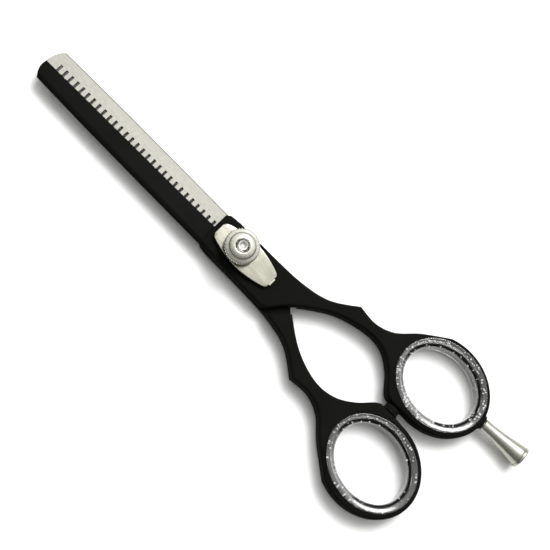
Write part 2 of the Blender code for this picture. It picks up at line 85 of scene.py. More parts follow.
STRAIGHT = {
    "name": "straight", "centre": (-64.1, -14.05), "outer": (15.3, 12.95), "turn": 0.0,
    "teardrop": [(-60.5, -1.1), (-56.9, -1.1), (-54.8, -2.1), (-50.5, -6.9), (-45.3, -9.9),
                 (-38.7, -9.8), (-30.0, -6.9), (-20.9, -0.3), (-16.0, 5.4)],
    "edge": (-0.75, 0.16)}
TOOTHED = {
    "name": "toothed", "centre": (-64.6, -14.75), "outer": (15.3, 13.3), "turn": math.radians(10.0),
    "teardrop": [(-60.5, -1.15), (-56.9, -1.1), (-54.6, -1.9), (-50.5, -6.0), (-45.3, -9.1),
                 (-38.7, -9.7), (-30.0, -6.8), (-20.9, -0.3), (-16.0, 5.4)],
    "edge": (-1.3, -1.1)}
RING_BORE = (12.7, 10.4)
INSERT_HOLE = (11.4, 9.2)
RING_FACE = 1.23           # an insert's lips bed into the ring's faces, and its sleeve into the bore
SEATED = 1.33
LIP_REACH = 2.42

# ---- blades --------------------------------------------------------------------------------------
BLADE_ROOT_X = 2.0
BLADE_STATIONS = [0.0, 0.2, 0.4, 0.6, 0.75, 0.88, 0.94, 0.975, 0.988, 0.995, 1.0]
NOSE_SHARE = 0.025         # share of the length in which the blade thins to its nose
NOSE_DROP = 0.28
TIP_X = 72.0
EDGE_LAND = 0.3
SPINE_Y = 5.8
SPINE_TAPER = 0.45
RIDGE_ROOT = (4.9, 2.3)
RIDGE_TIP = (4.3, 1.9)
SPINE_TOP = (1.4, 1.1)
FACET_STEPS = 12
FACET_SHARE = 0.88         # how far the facet runs from edge to ridge before the ridge's rounding
FACET_CROWN = 0.16
BLADE_LOW = -0.6           # the draft blade reaches this far below the meeting plane
SPINE_RIM = 1.06
SLOT_COUNT = 29
SLOT_FIRST_X = 9.9
SLOT_PITCH = 2.077
SLOT_WIDTH = 0.77
SLOT_ROOT_Y = 2.1
NOTCH_HALF = 0.34          # the V in each tooth's tip
NOTCH_START = 0.25
NOTCH_DEPTH = 0.42
BARE_FROM_X = 7.6          # the blades' ground inner faces are bare from here to the tips

# ---- pivot ---------------------------------------------------------------------------------------
SCREW_HEAD_R = 4.6
SPANNER_HOLE_X = 2.6
SPANNER_HOLE_R = 0.6
SPANNER_HOLE_DEPTH = 0.7
SHANK_R = 2.0
THREAD_R = 1.5
THREAD_PITCH = 0.5
STUD_TOP = MEETING_Z + 8.8
BORE_R = SHANK_R + FIT_GAP
WASHER_R = 4.2
WASHER_RECESS = 0.9
BUSH_R = 2.8
PLATE_ENDS = (7.6, -12.0)
PLATE_END_HALF = 2.3
PLATE_MID_HALF = 4.35
PLATE_THICK = 0.8
PLATE_ARCH = 0.4
PLATE_CORNERS = (0.6, 0.2)
PLATE_STEPS = 48
PLATE_BASE = MEETING_Z + OUTER_FACE + FIT_GAP
TAB_HALF = 1.1
TAB_REACH = 0.45
TAB_DROP = 0.8
NUT_BASE = MEETING_Z + 5.5
NUT_R = 4.86
NUT_H = 2.9
NUT_HOLE_R = 1.9
KNURL_COUNT = 40
KNURL_DEPTH = 0.2
KNURL_REACH = 0.3          # the knurl fades out this far in from the rim

# ---- bumper and finger rest ------------------------------------------------------------------------
BUMPER_X = -59.15
BUMPER_START_Y = 3.2
BUMPER_STEM_R = 1.0
BUMPER_STEM_L = 1.6
BUMPER_FLANGE_R = 2.5
BUMPER_FLANGE_L = 0.5
BUMPER_NOSE_R = 2.2
BUMPER_L = 3.6
REST_AXIS_START = (-80.1, -15.2)
REST_AXIS_TURN = math.radians(184.0)
REST_LENGTH = 14.0
REST_NECK_R = 1.78             # radius of the plain neck
REST_NECK = 0.15               # share of the length that the neck takes
REST_FLARE = 1.3               # how much the radius grows from the neck to the rim
REST_RIM_R = 3.15
REST_RIM_L = 0.9
REST_STUD_R = 1.0
REST_STUD_L = 3.0
BOSS_R = 2.2
BOSS_L = 3.6
BOSS_ROUND = 0.45


# ---- drawing helpers -------------------------------------------------------------------------------
def smooth_path(points, before, after, steps=12):
    """Points along a smooth curve through the given ones. before and after steer its two ends."""
    path = []
    line = [before] + list(points) + [after]
    for a, b, c, d in zip(line, line[1:], line[2:], line[3:]):
        for step in range(steps):
            t = step / steps
            path.append(tuple(
                0.5 * (2 * b[k] + (c[k] - a[k]) * t
                       + (2 * a[k] - 5 * b[k] + 4 * c[k] - d[k]) * t ** 2
                       + (3 * b[k] - a[k] - 3 * c[k] + d[k]) * t ** 3)
                for k in range(2)))
    path.append(tuple(points[-1]))
    return path


def ellipse(centre, half_axes, turn, start=0.0, end=2 * math.pi, steps=160):
    """Points around an ellipse, or along an arc of it with both ends."""
    whole = abs(abs(end - start) - 2 * math.pi) < 1e-6
    points = []
    for step in range(steps if whole else steps + 1):
        angle = start + (end - start) * step / steps
        x = half_axes[0] * math.cos(angle)
        y = half_axes[1] * math.sin(angle)
        points.append((centre[0] + x * math.cos(turn) - y * math.sin(turn),
                       centre[1] + x * math.sin(turn) + y * math.cos(turn)))
    return points


def inset(loop, distance):
    """The loop moved inwards (for a counterclockwise loop) by a distance, corners mitred."""
    moved = []
    for before, here, after in zip(loop[-1:] + loop[:-1], loop, loop[1:] + loop[:1]):
        a = Vector((here[0] - before[0], here[1] - before[1])).normalized()
        b = Vector((after[0] - here[0], after[1] - here[1])).normalized()
        normal = Vector((-a.y - b.y, a.x + b.x)).normalized()
        reach = distance / max(0.5, normal.dot(Vector((-a.y, a.x))))
        moved.append((here[0] + normal.x * reach, here[1] + normal.y * reach))
    return moved


def area(loop):
    """A closed loop's area, positive when it runs counterclockwise."""
    return 0.5 * sum(a[0] * b[1] - b[0] * a[1] for a, b in zip(loop, loop[1:] + loop[:1]))


def draft(bm, name, place=None):
    """A bmesh as an object, still in millimetres."""
    if place is not None:
        bm.transform(place)
    bmesh.ops.remove_doubles(bm, verts=bm.verts, dist=1e-4)
    bmesh.ops.recalc_face_normals(bm, faces=bm.faces)
    mesh = bpy.data.meshes.new(name)
    bm.to_mesh(mesh)
    bm.free()
    obj = bpy.data.objects.new(name, mesh)
    bpy.context.scene.collection.objects.link(obj)
    return obj


def carve(target, tool, operation="DIFFERENCE"):
    """Cuts the tool from the target, or joins it on, and throws the tool away."""
    step = target.modifiers.new(operation.title(), "BOOLEAN")
    step.operation = operation
    step.solver = "EXACT"
    step.object = tool
    bake(target)
    bpy.data.objects.remove(tool)


def bake(obj):
    """Puts the result of an object's modifiers into its mesh."""
    graph = bpy.context.evaluated_depsgraph_get()
    graph.update()
    mesh = bpy.data.meshes.new_from_object(obj.evaluated_get(graph))
    obj.modifiers.clear()
    obj.data = mesh


def finish(obj, name, looks, body, node, sharp=32.0, weight=True):
    """Scales a draft into metres, smooths its shading, and hands it to its body."""
    obj.name = name
    obj.data.name = name
    obj.data.transform(Matrix.Scale(MM, 4))
    obj.data.shade_smooth()
    obj.data.set_sharp_from_angle(angle=math.radians(sharp))
    for look in looks:
        obj.data.materials.append(look)
    if weight:
        step = obj.modifiers.new("Weighted_normals", "WEIGHTED_NORMAL")
        step.keep_sharp = True
        step.weight = 90
    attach(obj, body)
    if node:
        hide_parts(node)
    return obj


def rounded_levels(low, high, edge_in, edge_down, steps=5):
    """(inset, height) pairs up a plate's edge with rounded corners."""
    lower = []
    for k in range(steps + 1):
        angle = math.pi / 2 * k / steps
        lower.append((edge_in * (1 - math.sin(angle)), low + edge_down * (1 - math.cos(angle))))
    return lower + [(reach, low + high - z) for reach, z in reversed(lower)]


def slab(name, loops, levels, place=None):
    """A plate. The first loop is its outline and the others are holes. levels is (inset, height)."""
    bm = bmesh.new()
    caps = {"low": [], "high": []}
    for index, loop in enumerate(loops):
        counterclockwise = area(loop) > 0
        loop = loop if counterclockwise == (index == 0) else loop[::-1]
        rows = []
        for reach, z in levels:
            points = inset(loop, reach) if reach else loop
            rows.append([bm.verts.new((x, y, z)) for x, y in points])
        for lower, upper in zip(rows, rows[1:]):
            for k in range(len(lower)):
                n = (k + 1) % len(lower)
                bm.faces.new((lower[k], lower[n], upper[n], upper[k]))
        for key, row in (("low", rows[0]), ("high", rows[-1])):
            caps[key] += [bm.edges.get((row[k], row[(k + 1) % len(row)])) for k in range(len(row))]
    for edges in caps.values():
        bmesh.ops.triangle_fill(bm, use_beauty=True, use_dissolve=False, edges=edges)
    return draft(bm, name, place)


def block(name, x_range, y_range, z_range):
    loop = [(x_range[0], y_range[0]), (x_range[1], y_range[0]),
            (x_range[1], y_range[1]), (x_range[0], y_range[1])]
    return slab(name, [loop], [(0.0, z_range[0]), (0.0, z_range[1])])


def plug(name, radius, low, high, place=None, steps=96):
    """A cylinder about Z, used as a drill."""
    return turned(name, [(0.0, low), (radius, low), (radius, high), (0.0, high)], place, steps)


def turned(name, profile, place=None, steps=96, grip=None):
    """A solid of revolution about Z from a closed (radius, height) profile.

    grip(step, radius) trims the radius at each step of the turn.
    """
    bm = bmesh.new()
    rows = []
    for step in range(steps):
        angle = 2 * math.pi * step / steps
        row = []
        for r, z in profile:
            if grip is not None:
                r = grip(step, r)
            row.append(bm.verts.new((r * math.cos(angle), r * math.sin(angle), z)))
        rows.append(row)
    for a, b in zip(rows, rows[1:] + rows[:1]):
        for k in range(len(profile)):
            n = (k + 1) % len(profile)
            corners = [a[k], b[k], b[n], a[n]]
            if profile[k][0] == 0.0 and profile[n][0] == 0.0:
                continue
            if profile[k][0] == 0.0:
                corners = [a[k], b[n], a[n]]
            elif profile[n][0] == 0.0:
                corners = [a[k], b[k], a[n]]
            bm.faces.new(corners)
    return draft(bm, name, place)


def rounded(points, radius, steps=4):
    """A closed profile with its corners rounded, except those on the axis."""
    out = []
    for before, here, after in zip(points[-1:] + points[:-1], points, points[1:] + points[:1]):
        a, h, b = Vector(before), Vector(here), Vector(after)
        if h.x == 0.0:
            out.append(tuple(h))
            continue
        reach = min(radius, (a - h).length * 0.45, (b - h).length * 0.45)
        start = h + (a - h).normalized() * reach
        end = h + (b - h).normalized() * reach
        for k in range(steps + 1):
            t = k / steps
            out.append(tuple(start * (1 - t) ** 2 + h * 2 * t * (1 - t) + end * t ** 2))
    return out


# ---- materials -------------------------------------------------------------------------------------
# Depths of the surface marks, in metres.
SATIN_DEPTH = 0.000003
GRAIN_DEPTH = 0.00001
RIPPLE_DEPTH = 0.00003


def new_material(name):
    made = bpy.data.materials.new(name)
    made.use_nodes = True
    return made, made.node_tree, made.node_tree.nodes["Principled BSDF"]


def add(tree, kind, **values):
    node = tree.nodes.new(kind)
    for key, value in values.items():
        if key in node.inputs:
            node.inputs[key].default_value = value
        else:
            setattr(node, key, value)
    return node


def noise(tree, scale, detail=3.0, stretch=(1.0, 1.0, 1.0)):
    """Noise in object space, with scale in features per metre."""
    spot = add(tree, "ShaderNodeTexCoord")
    squeeze = add(tree, "ShaderNodeMapping")
    squeeze.inputs["Scale"].default_value = stretch
    made = add(tree, "ShaderNodeTexNoise", Scale=scale, Detail=detail)
    tree.links.new(spot.outputs["Object"], squeeze.inputs["Vector"])
    tree.links.new(squeeze.outputs["Vector"], made.inputs["Vector"])
    return made.outputs["Fac"]


def spread(tree, factor, low, high):
    """Turns a 0 to 1 factor into a range of values."""
    node = add(tree, "ShaderNodeMapRange")
    node.inputs["From Min"].default_value = 0.3
    node.inputs["From Max"].default_value = 0.7
    node.inputs["To Min"].default_value = low
    node.inputs["To Max"].default_value = high
    tree.links.new(factor, node.inputs["Value"])
    return node.outputs["Result"]


def two_tone(tree, factor, dark, light, low=0.35, high=0.65):
    ramp = add(tree, "ShaderNodeValToRGB")
    ramp.color_ramp.elements[0].position = low
    ramp.color_ramp.elements[0].color = (*dark, 1.0)
    ramp.color_ramp.elements[1].position = high
    ramp.color_ramp.elements[1].color = (*light, 1.0)
    tree.links.new(factor, ramp.inputs["Fac"])
    return ramp.outputs["Color"]


def bump(tree, height, shader, depth, strength):
    node = add(tree, "ShaderNodeBump")
    node.inputs["Strength"].default_value = strength
    node.inputs["Distance"].default_value = depth
    tree.links.new(height, node.inputs["Height"])
    tree.links.new(node.outputs["Normal"], shader.inputs["Normal"])


def black_coat():
    """The halves' thin satin coat: faint patches of tone and an orange-peel surface."""
    made, tree, shader = new_material("satin_black_coat")
    patches = noise(tree, 90.0, 2.0)
    peel = noise(tree, 2600.0, 2.0)
    tree.links.new(two_tone(tree, patches, (0.0053, 0.0054, 0.0047), (0.0065, 0.0066, 0.0058)),
                   shader.inputs["Base Color"])
    tree.links.new(spread(tree, noise(tree, 900.0), 0.50, 0.60), shader.inputs["Roughness"])
    shader.inputs["IOR"].default_value = 1.05
    bump(tree, peel, shader, SATIN_DEPTH, 0.4)
    return made


def ground_steel():
    """The blades' bare inner faces, with grinding marks along the blade."""
    made, tree, shader = new_material("satin_ground_steel")
    grain = noise(tree, 2400.0, 4.0, (0.35, 1.0, 1.0))
    tree.links.new(two_tone(tree, grain, (0.204, 0.202, 0.180), (0.245, 0.241, 0.214)),
                   shader.inputs["Base Color"])
    tree.links.new(spread(tree, grain, 0.30, 0.40), shader.inputs["Roughness"])
    shader.inputs["Metallic"].default_value = 1.0
    bump(tree, grain, shader, SATIN_DEPTH, 0.4)
    return made


def plated(name, dark, light, rough_low, rough_high, grain_size=1500.0, stretch=(1.0, 1.0, 1.0)):
    """Plated or turned metal: fine marks in its colour, gloss and surface."""
    made, tree, shader = new_material(name)
    marks = noise(tree, grain_size, 3.0, stretch)
    tree.links.new(two_tone(tree, marks, dark, light), shader.inputs["Base Color"])
    tree.links.new(spread(tree, noise(tree, 400.0), rough_low, rough_high), shader.inputs["Roughness"])
    shader.inputs["Metallic"].default_value = 1.0
    bump(tree, marks, shader, SATIN_DEPTH, 0.4)
    return made


def plastic(name, dark, light, rough_low, rough_high, ior=1.5):
    """A moulded surface with a fine grain."""
    made, tree, shader = new_material(name)
    marks = noise(tree, 1200.0, 3.0)
    tree.links.new(two_tone(tree, marks, dark, light), shader.inputs["Base Color"])
    tree.links.new(spread(tree, marks, rough_low, rough_high), shader.inputs["Roughness"])
    shader.inputs["IOR"].default_value = ior
    bump(tree, marks, shader, GRAIN_DEPTH, 0.5)
    return made


def clear_silicone():
    """Clear rubber with a slight milkiness, which lets the lamps' light through."""
    made, tree, shader = new_material("clear_silicone")
    haze = noise(tree, 350.0, 2.0)
    tree.links.new(two_tone(tree, haze, (0.36, 0.365, 0.36), (0.44, 0.445, 0.44)),
                   shader.inputs["Base Color"])
    tree.links.new(spread(tree, noise(tree, 1100.0), 0.01, 0.03), shader.inputs["Roughness"])
    shader.inputs["Transmission Weight"].default_value = 1.0
    shader.inputs["Coat Weight"].default_value = 1.0
    shader.inputs["Coat IOR"].default_value = 1.7
    shader.inputs["Coat Roughness"].default_value = 0.08
    shader.inputs["IOR"].default_value = 1.36
    bump(tree, haze, shader, RIPPLE_DEPTH, 0.4)
    clear = add(tree, "ShaderNodeBsdfTransparent")
    clear.inputs["Color"].default_value = (0.85, 0.86, 0.85, 1.0)
    lamps = add(tree, "ShaderNodeLightPath")
    mix = add(tree, "ShaderNodeMixShader")
    tree.links.new(lamps.outputs["Is Shadow Ray"], mix.inputs["Fac"])
    tree.links.new(shader.outputs["BSDF"], mix.inputs[1])
    tree.links.new(clear.outputs["BSDF"], mix.inputs[2])
    tree.links.new(mix.outputs["Shader"], tree.nodes["Material Output"].inputs["Surface"])
    return made


# ---- the halves ------------------------------------------------------------------------------------
def seat(turned_over):
    """From a half's own frame into the shears' frame."""
    side = -1.0 if turned_over else 1.0
    return Matrix(((1.0, 0.0, 0.0, 0.0), (0.0, side, 0.0, MIDLINE_Y),
                   (0.0, 0.0, side, MEETING_Z), (0.0, 0.0, 0.0, 1.0)))


def handle_outline(ring):
    """Plan outline of plate, shank and ring, from the choil round to the choil again."""
    around = ellipse(ring["centre"], ring["outer"], ring["turn"],
                     RING_ARC[0] - ring["turn"], RING_ARC[1] - ring["turn"], RING_STEPS)
    front = smooth_path(OUTER_FRONT, PLATE_FRONT_BEFORE, KNUCKLE_AFTER)
    rear = smooth_path(OUTER_REAR + around[:1], KNUCKLE_BEFORE, around[1])
    inner = smooth_path([around[-1]] + ring["teardrop"], around[-2], TEARDROP_AFTER)
    free_side = [(x, PLATE_SIDE_Y) for x in FREE_SIDE_X] + [(CHOIL_X, SPINE_Y - 0.5)]
    return front[:-1] + rear[:-1] + around[:-1] + inner + free_side + CHAMFERED_CHOIL


def blade_section(t, edge, nose):
    """One cross-section: points over the blade from edge to spine, then back below them."""
    edge_y = edge[0] + (edge[1] - edge[0]) * t
    ridge_y = RIDGE_ROOT[0] + (RIDGE_TIP[0] - RIDGE_ROOT[0]) * t
    spine_y = SPINE_Y - SPINE_TAPER * t ** 4
    ridge_h = nose * (RIDGE_ROOT[1] + (RIDGE_TIP[1] - RIDGE_ROOT[1]) * t)
    spine_h = nose * (SPINE_TOP[0] + (SPINE_TOP[1] - SPINE_TOP[0]) * t)
    edge_h = INNER_FACE + EDGE_LAND
    over = []
    for k in range(FACET_STEPS):
        share = FACET_SHARE * k / (FACET_STEPS - 1)
        crown = FACET_CROWN * nose * math.sin(math.pi * share) * share
        over.append((edge_y + (ridge_y - edge_y) * share, edge_h + (ridge_h - edge_h) * share + crown))
    ridge = [Vector((ridge_y - 0.35, ridge_h - 0.05)), Vector((ridge_y + 0.05, ridge_h + 0.06)),
             Vector((spine_y - 0.42, (ridge_h + spine_h) / 2 + 0.05))]
    for k in range(5):
        u = k / 4
        point = ridge[0] * (1 - u) ** 2 + ridge[1] * 2 * u * (1 - u) + ridge[2] * u ** 2
        over.append(tuple(point))
    over += [(spine_y - 0.12, spine_h + 0.22), (spine_y, spine_h - 0.05)]
    below = [(y, max(BLADE_LOW, BLADE_LOW + SPINE_RIM * (1.0 + y - spine_y))) for y, _ in over]
    return over + below[::-1]


def blade(name, edge, tip_end, place):
    """A blade lofted from root to tip. tip_end(y) is where it ends at each place across it."""
    bm = bmesh.new()
    rows = []
    for t in BLADE_STATIONS:
        past = max(0.0, (t - (1.0 - NOSE_SHARE)) / NOSE_SHARE)
        nose = 1.0 - NOSE_DROP * (1.0 - math.sqrt(max(0.0, 1.0 - past * past)))
        rows.append([bm.verts.new((BLADE_ROOT_X + (tip_end(y) - BLADE_ROOT_X) * t, y, h))
                     for y, h in blade_section(t, edge, nose)])
    for a, b in zip(rows, rows[1:]):
        for k in range(len(a)):
            n = (k + 1) % len(a)
            bm.faces.new((a[k], a[n], b[n], b[k]))
    for row in (rows[0], rows[-1]):
        for k in range(len(row) // 2 - 1):
            bm.faces.new((row[k], row[k + 1], row[-2 - k], row[-1 - k]))
    bmesh.ops.triangulate(bm, faces=bm.faces)
    return draft(bm, name, place)


def straight_tip(y):
    return TIP_X - 0.1 - 0.10 * (y - 1.2) ** 2 * (1.0 if y > 1.2 else 0.3)


def toothed_tip(y):
    return TIP_X - 0.055 * max(0.0, y + 0.3) ** 2 - 0.35 * max(0.0, y - 4.3) ** 2


def undercut(name, place):
    """What lies below a half's inner face, from the riser at the crotch forwards."""
    slope = Vector((APEX_X - CROTCH_X, APEX_Y - CROTCH_Y)).normalized()
    start = Vector((CROTCH_X, CROTCH_Y)) + Vector((-slope.y, slope.x)) * RISER_GAP
    far_in = start + slope * 25.0
    far_out = start - slope * 25.0
    loop = [tuple(far_out), (90.0, far_out.y), (90.0, far_in.y), tuple(far_in)]
    return slab(name, [loop], [(0.0, -8.0), (0.0, INNER_FACE)], place)


def half(ring, tip_end, place):
    """Handle and blade as one body, with the space of the other half cut away."""
    bore = ellipse(ring["centre"], RING_BORE, ring["turn"])
    body = slab(ring["name"] + "_draft", [handle_outline(ring), bore],
                rounded_levels(-OUTER_FACE, OUTER_FACE, EDGE_IN, EDGE_DOWN), place)
    carve(body, blade("blade_draft", ring["edge"], tip_end, place), "UNION")
    carve(body, undercut("undercut_draft", place))
    return body


def bare_inner_face(obj, height):
    """Gives the ground inner face of a half's blade the second material."""
    bm = bmesh.new()
    bm.from_mesh(obj.data)
    bmesh.ops.bisect_plane(bm, geom=bm.verts[:] + bm.edges[:] + bm.faces[:], dist=1e-4,
                           plane_co=(BARE_FROM_X, 0.0, 0.0), plane_no=(1.0, 0.0, 0.0))
    for face in bm.faces:
        middle = face.calc_center_median()
        if abs(face.normal.z) > 0.99 and abs(middle.z - height) < 0.02 and middle.x > BARE_FROM_X:
            face.material_index = 1
    bm.to_mesh(obj.data)
    bm.free()


def finger_rest_place():
    """From a turned draft's frame to the rest's axis, which leaves the finger ring."""
    away = Vector((math.cos(REST_AXIS_TURN), math.sin(REST_AXIS_TURN), 0.0))
    place = Vector((REST_AXIS_START[0], REST_AXIS_START[1], MEETING_Z))
    return Matrix.Translation(place) @ away.to_track_quat("Z", "Y").to_matrix().to_4x4()


def bumper_place():
    """From a turned draft's frame to the bumper's axis, which crosses from ring to ring."""
    return (Matrix.Translation((BUMPER_X, BUMPER_START_Y, MEETING_Z))
            @ Matrix.Rotation(math.pi / 2, 4, "X"))


def make_straight_half(coat, steel):
    place = seat(False)
    obj = half(STRAIGHT, straight_tip, place)
    carve(obj, plug("bore", BUSH_R + FIT_GAP, MEETING_Z - 1.6, MEETING_Z + 5.4))
    tab_x = PLATE_ENDS[1] - TAB_REACH
    carve(obj, block("tab_slot", (tab_x - FIT_GAP, tab_x + TAB_REACH + FIT_GAP),
                     (-TAB_HALF - FIT_GAP, TAB_HALF + FIT_GAP),
                     (MEETING_Z + OUTER_FACE - TAB_DROP - 0.1, MEETING_Z + 4.0)))
    boss = rounded([(0.0, -BOSS_L), (BOSS_R, -BOSS_L), (BOSS_R, -FIT_GAP), (0.0, -FIT_GAP)],
                   BOSS_ROUND)
    carve(obj, turned("boss", boss, finger_rest_place(), 48), "UNION")
    carve(obj, plug("rest_hole", REST_STUD_R + FIT_GAP, -REST_STUD_L - FIT_GAP, 2.0,
                    finger_rest_place(), 40))
    bare_inner_face(obj, MEETING_Z + INNER_FACE)
    return finish(obj, "straight_half_coated", [coat, steel], "straight_half",
                  "straight_blade_half")


def make_toothed_half(coat, steel):
    place = seat(True)
    obj = half(TOOTHED, toothed_tip, place)
    carve(obj, plug("bore", BORE_R, -1.0, MEETING_Z + 1.4))
    carve(obj, plug("recess", WASHER_R + FIT_GAP, MEETING_Z - INNER_FACE - WASHER_RECESS,
                    MEETING_Z + 2.4))
    cuts = bmesh.new()
    for index in range(SLOT_COUNT + 1):
        x = SLOT_FIRST_X + index * SLOT_PITCH
        if index < SLOT_COUNT:
            add_prism(cuts, [(x - SLOT_WIDTH / 2, -4.0), (x + SLOT_WIDTH / 2, -4.0),
                             (x + SLOT_WIDTH / 2, SLOT_ROOT_Y), (x - SLOT_WIDTH / 2, SLOT_ROOT_Y)])
        if 0 < index < SLOT_COUNT:
            middle = x - SLOT_PITCH / 2
            edge_y = TOOTHED["edge"][0]
            add_prism(cuts, [(middle - NOTCH_HALF, edge_y - NOTCH_START),
                             (middle + NOTCH_HALF, edge_y - NOTCH_START),
                             (middle, edge_y + NOTCH_DEPTH)])
    carve(obj, draft(cuts, "slots", place))
    stem, flange = BUMPER_STEM_R + FIT_GAP, BUMPER_FLANGE_R + FIT_GAP
    pocket = [(0.0, -FIT_GAP), (stem, -FIT_GAP), (stem, BUMPER_STEM_L - FIT_GAP),
              (flange, BUMPER_STEM_L - FIT_GAP), (flange, 4.0), (0.0, 4.0)]
    carve(obj, turned("bumper_seat", pocket, bumper_place(), 48))
    bare_inner_face(obj, MEETING_Z - INNER_FACE)
    return finish(obj, "toothed_half_coated", [coat, steel], "toothed_half",
                  "toothed_blade_half")


def add_prism(bm, loop):
    """An upright prism through the whole blade."""
    low = [bm.verts.new((x, y, -1.0)) for x, y in loop]
    high = [bm.verts.new((x, y, 4.0)) for x, y in loop]
    bm.faces.new(low[::-1])
    bm.faces.new(high)
    for k in range(len(loop)):
        n = (k + 1) % len(loop)
        bm.faces.new((low[k], low[n], high[n], high[k]))


# ---- the pivot ---------------------------------------------------------------------------------------
def make_pivot_screw(look):
    """A flat head, a plain shank and a thread of rings, ending in a dished stud."""
    profile = [(0.0, 0.0), (SCREW_HEAD_R - 0.3, 0.0), (SCREW_HEAD_R - 0.08, 0.1), (SCREW_HEAD_R, 0.3),
               (SCREW_HEAD_R, LIP_THICK), (SHANK_R, LIP_THICK), (SHANK_R, NUT_BASE - 0.4),
               (THREAD_R, NUT_BASE - 0.1)]
    turns = int((STUD_TOP - 0.4 - NUT_BASE) / THREAD_PITCH)
    for k in range(turns):
        z = NUT_BASE + k * THREAD_PITCH
        profile += [(THREAD_R, z), (THREAD_R, z + 0.15), (THREAD_R - 0.2, z + 0.3)]
    profile += [(THREAD_R, STUD_TOP - 0.35), (THREAD_R - 0.08, STUD_TOP - 0.12),
                (THREAD_R - 0.25, STUD_TOP), (THREAD_R - 0.4, STUD_TOP - 0.02), (0.9, STUD_TOP - 0.1),
                (0.65, STUD_TOP - 0.22), (0.4, STUD_TOP - 0.33), (0.2, STUD_TOP - 0.38),
                (0.0, STUD_TOP - 0.4)]
    obj = turned("screw", profile)
    for x in (-SPANNER_HOLE_X, SPANNER_HOLE_X):
        carve(obj, plug("spanner_hole", SPANNER_HOLE_R, -1.0, SPANNER_HOLE_DEPTH,
                        Matrix.Translation((x, 0.0, 0.0)), 32))
    return finish(obj, "pivot_screw_turned", [look], "toothed_half", "pivot_screw")


def plate_rise(x):
    """How far the spring's arch lifts it at x."""
    middle = (PLATE_ENDS[0] + PLATE_ENDS[1]) / 2
    half_length = (PLATE_ENDS[0] - PLATE_ENDS[1]) / 2
    return PLATE_ARCH * max(0.0, 1.0 - ((x - middle) / half_length) ** 2)


def plate_half_width(x):
    t = (x - PLATE_ENDS[1]) / (PLATE_ENDS[0] - PLATE_ENDS[1])
    return PLATE_END_HALF + (PLATE_MID_HALF - PLATE_END_HALF) * max(0.0, math.sin(math.pi * t)) ** 0.8


def make_tension_plate(look):
    """The leaf spring: an arched strip with curved sides and a tab bent into the straight half."""
    bm = bmesh.new()
    rows = []
    for step in range(PLATE_STEPS + 1):
        x = PLATE_ENDS[0] + (PLATE_ENDS[1] - PLATE_ENDS[0]) * step / PLATE_STEPS
        front = PLATE_ENDS[0] - x < x - PLATE_ENDS[1]
        corner = PLATE_CORNERS[0] if front else PLATE_CORNERS[1]
        to_end = PLATE_ENDS[0] - x if front else x - PLATE_ENDS[1]
        width = plate_half_width(x)
        if to_end < corner:
            width -= corner - math.sqrt(max(0.0, corner ** 2 - (corner - to_end) ** 2))
        low = PLATE_BASE + plate_rise(x)
        high = low + PLATE_THICK
        edge = [(width - 0.16, low), (width - 0.04, low + 0.06), (width, low + 0.2),
                (width, high - 0.22), (width - 0.06, high - 0.06), (width - 0.22, high)]
        across = edge + [(y * f, high) for y, f in ((width, 0.5), (width, 0.0))]
        across += [(-y, z) for y, z in reversed(edge + [(width * 0.5, high)])]
        across += [(-width * 0.5, low), (0.0, low), (width * 0.5, low)]
        rows.append([bm.verts.new((x, y, z)) for y, z in across])
    for a, b in zip(rows, rows[1:]):
        for k in range(len(a)):
            n = (k + 1) % len(a)
            bm.faces.new((a[k], b[k], b[n], a[n]))
    for row in (rows[0], rows[-1]):
        middle = bm.verts.new((row[0].co.x, 0.0, PLATE_BASE + PLATE_THICK / 2))
        for k in range(len(row)):
            bm.faces.new((row[k], row[(k + 1) % len(row)], middle))
    obj = draft(bm, "spring")
    end = PLATE_ENDS[1]
    carve(obj, block("tab", (end - TAB_REACH, end + 0.5), (-TAB_HALF, TAB_HALF),
                     (PLATE_BASE - TAB_DROP, PLATE_BASE + PLATE_THICK - 0.1)), "UNION")
    carve(obj, block("tab_trim", (end, end + 2.0), (-TAB_HALF - 1.0, TAB_HALF + 1.0),
                     (PLATE_BASE - 3.0, PLATE_BASE)))
    carve(obj, plug("plate_hole", BORE_R, PLATE_BASE - 1.3, PLATE_BASE + 3.7))
    return finish(obj, "leaf_spring_plated", [look], "straight_half", "tension_plate",
                  sharp=40.0)


def make_thumb_nut(look):
    """A round nut with a knurled rim and a stepped dome around the stud's hole."""
    top = NUT_BASE + NUT_H
    per_groove = 6
    dome = [(NUT_R, 1.05), (NUT_R - 0.06, 0.94), (NUT_R - 0.2, 0.86), (4.4, 0.78), (4.1, 0.69),
            (3.75, 0.57), (3.62, 0.52), (3.55, 0.44), (3.45, 0.36), (3.2, 0.27), (2.9, 0.16),
            (2.6, 0.08), (2.35, 0.02), (2.2, 0.0), (NUT_HOLE_R + 0.12, 0.0), (NUT_HOLE_R, 0.12)]
    profile = [(NUT_HOLE_R, NUT_BASE), (NUT_R - 0.5, NUT_BASE), (NUT_R - 0.1, NUT_BASE + 0.25),
               (NUT_R, NUT_BASE + 0.45)] + [(r, top - depth) for r, depth in dome]

    def grip(step, r):
        if r < NUT_R - KNURL_REACH:
            return r
        wave = 0.5 - 0.5 * math.cos(2 * math.pi * step / per_groove)
        return r - KNURL_DEPTH * wave * (1.0 - (NUT_R - r) / KNURL_REACH)

    obj = turned("nut", profile, None, KNURL_COUNT * per_groove, grip)
    return finish(obj, "thumb_nut_knurled", [look], "thumb_nut", "thumb_nut", sharp=50.0)


# ---- inserts, bumper, finger rest ------------------------------------------------------------------
FLAKE_RADIUS = (0.14, 0.27)
FLAKE_THICK = 0.04


def insert_frame(ring, turned_over):
    """Centre and turn of a ring in the shears' frame."""
    side = -1.0 if turned_over else 1.0
    return (ring["centre"][0], MIDLINE_Y + side * ring["centre"][1]), side * ring["turn"]


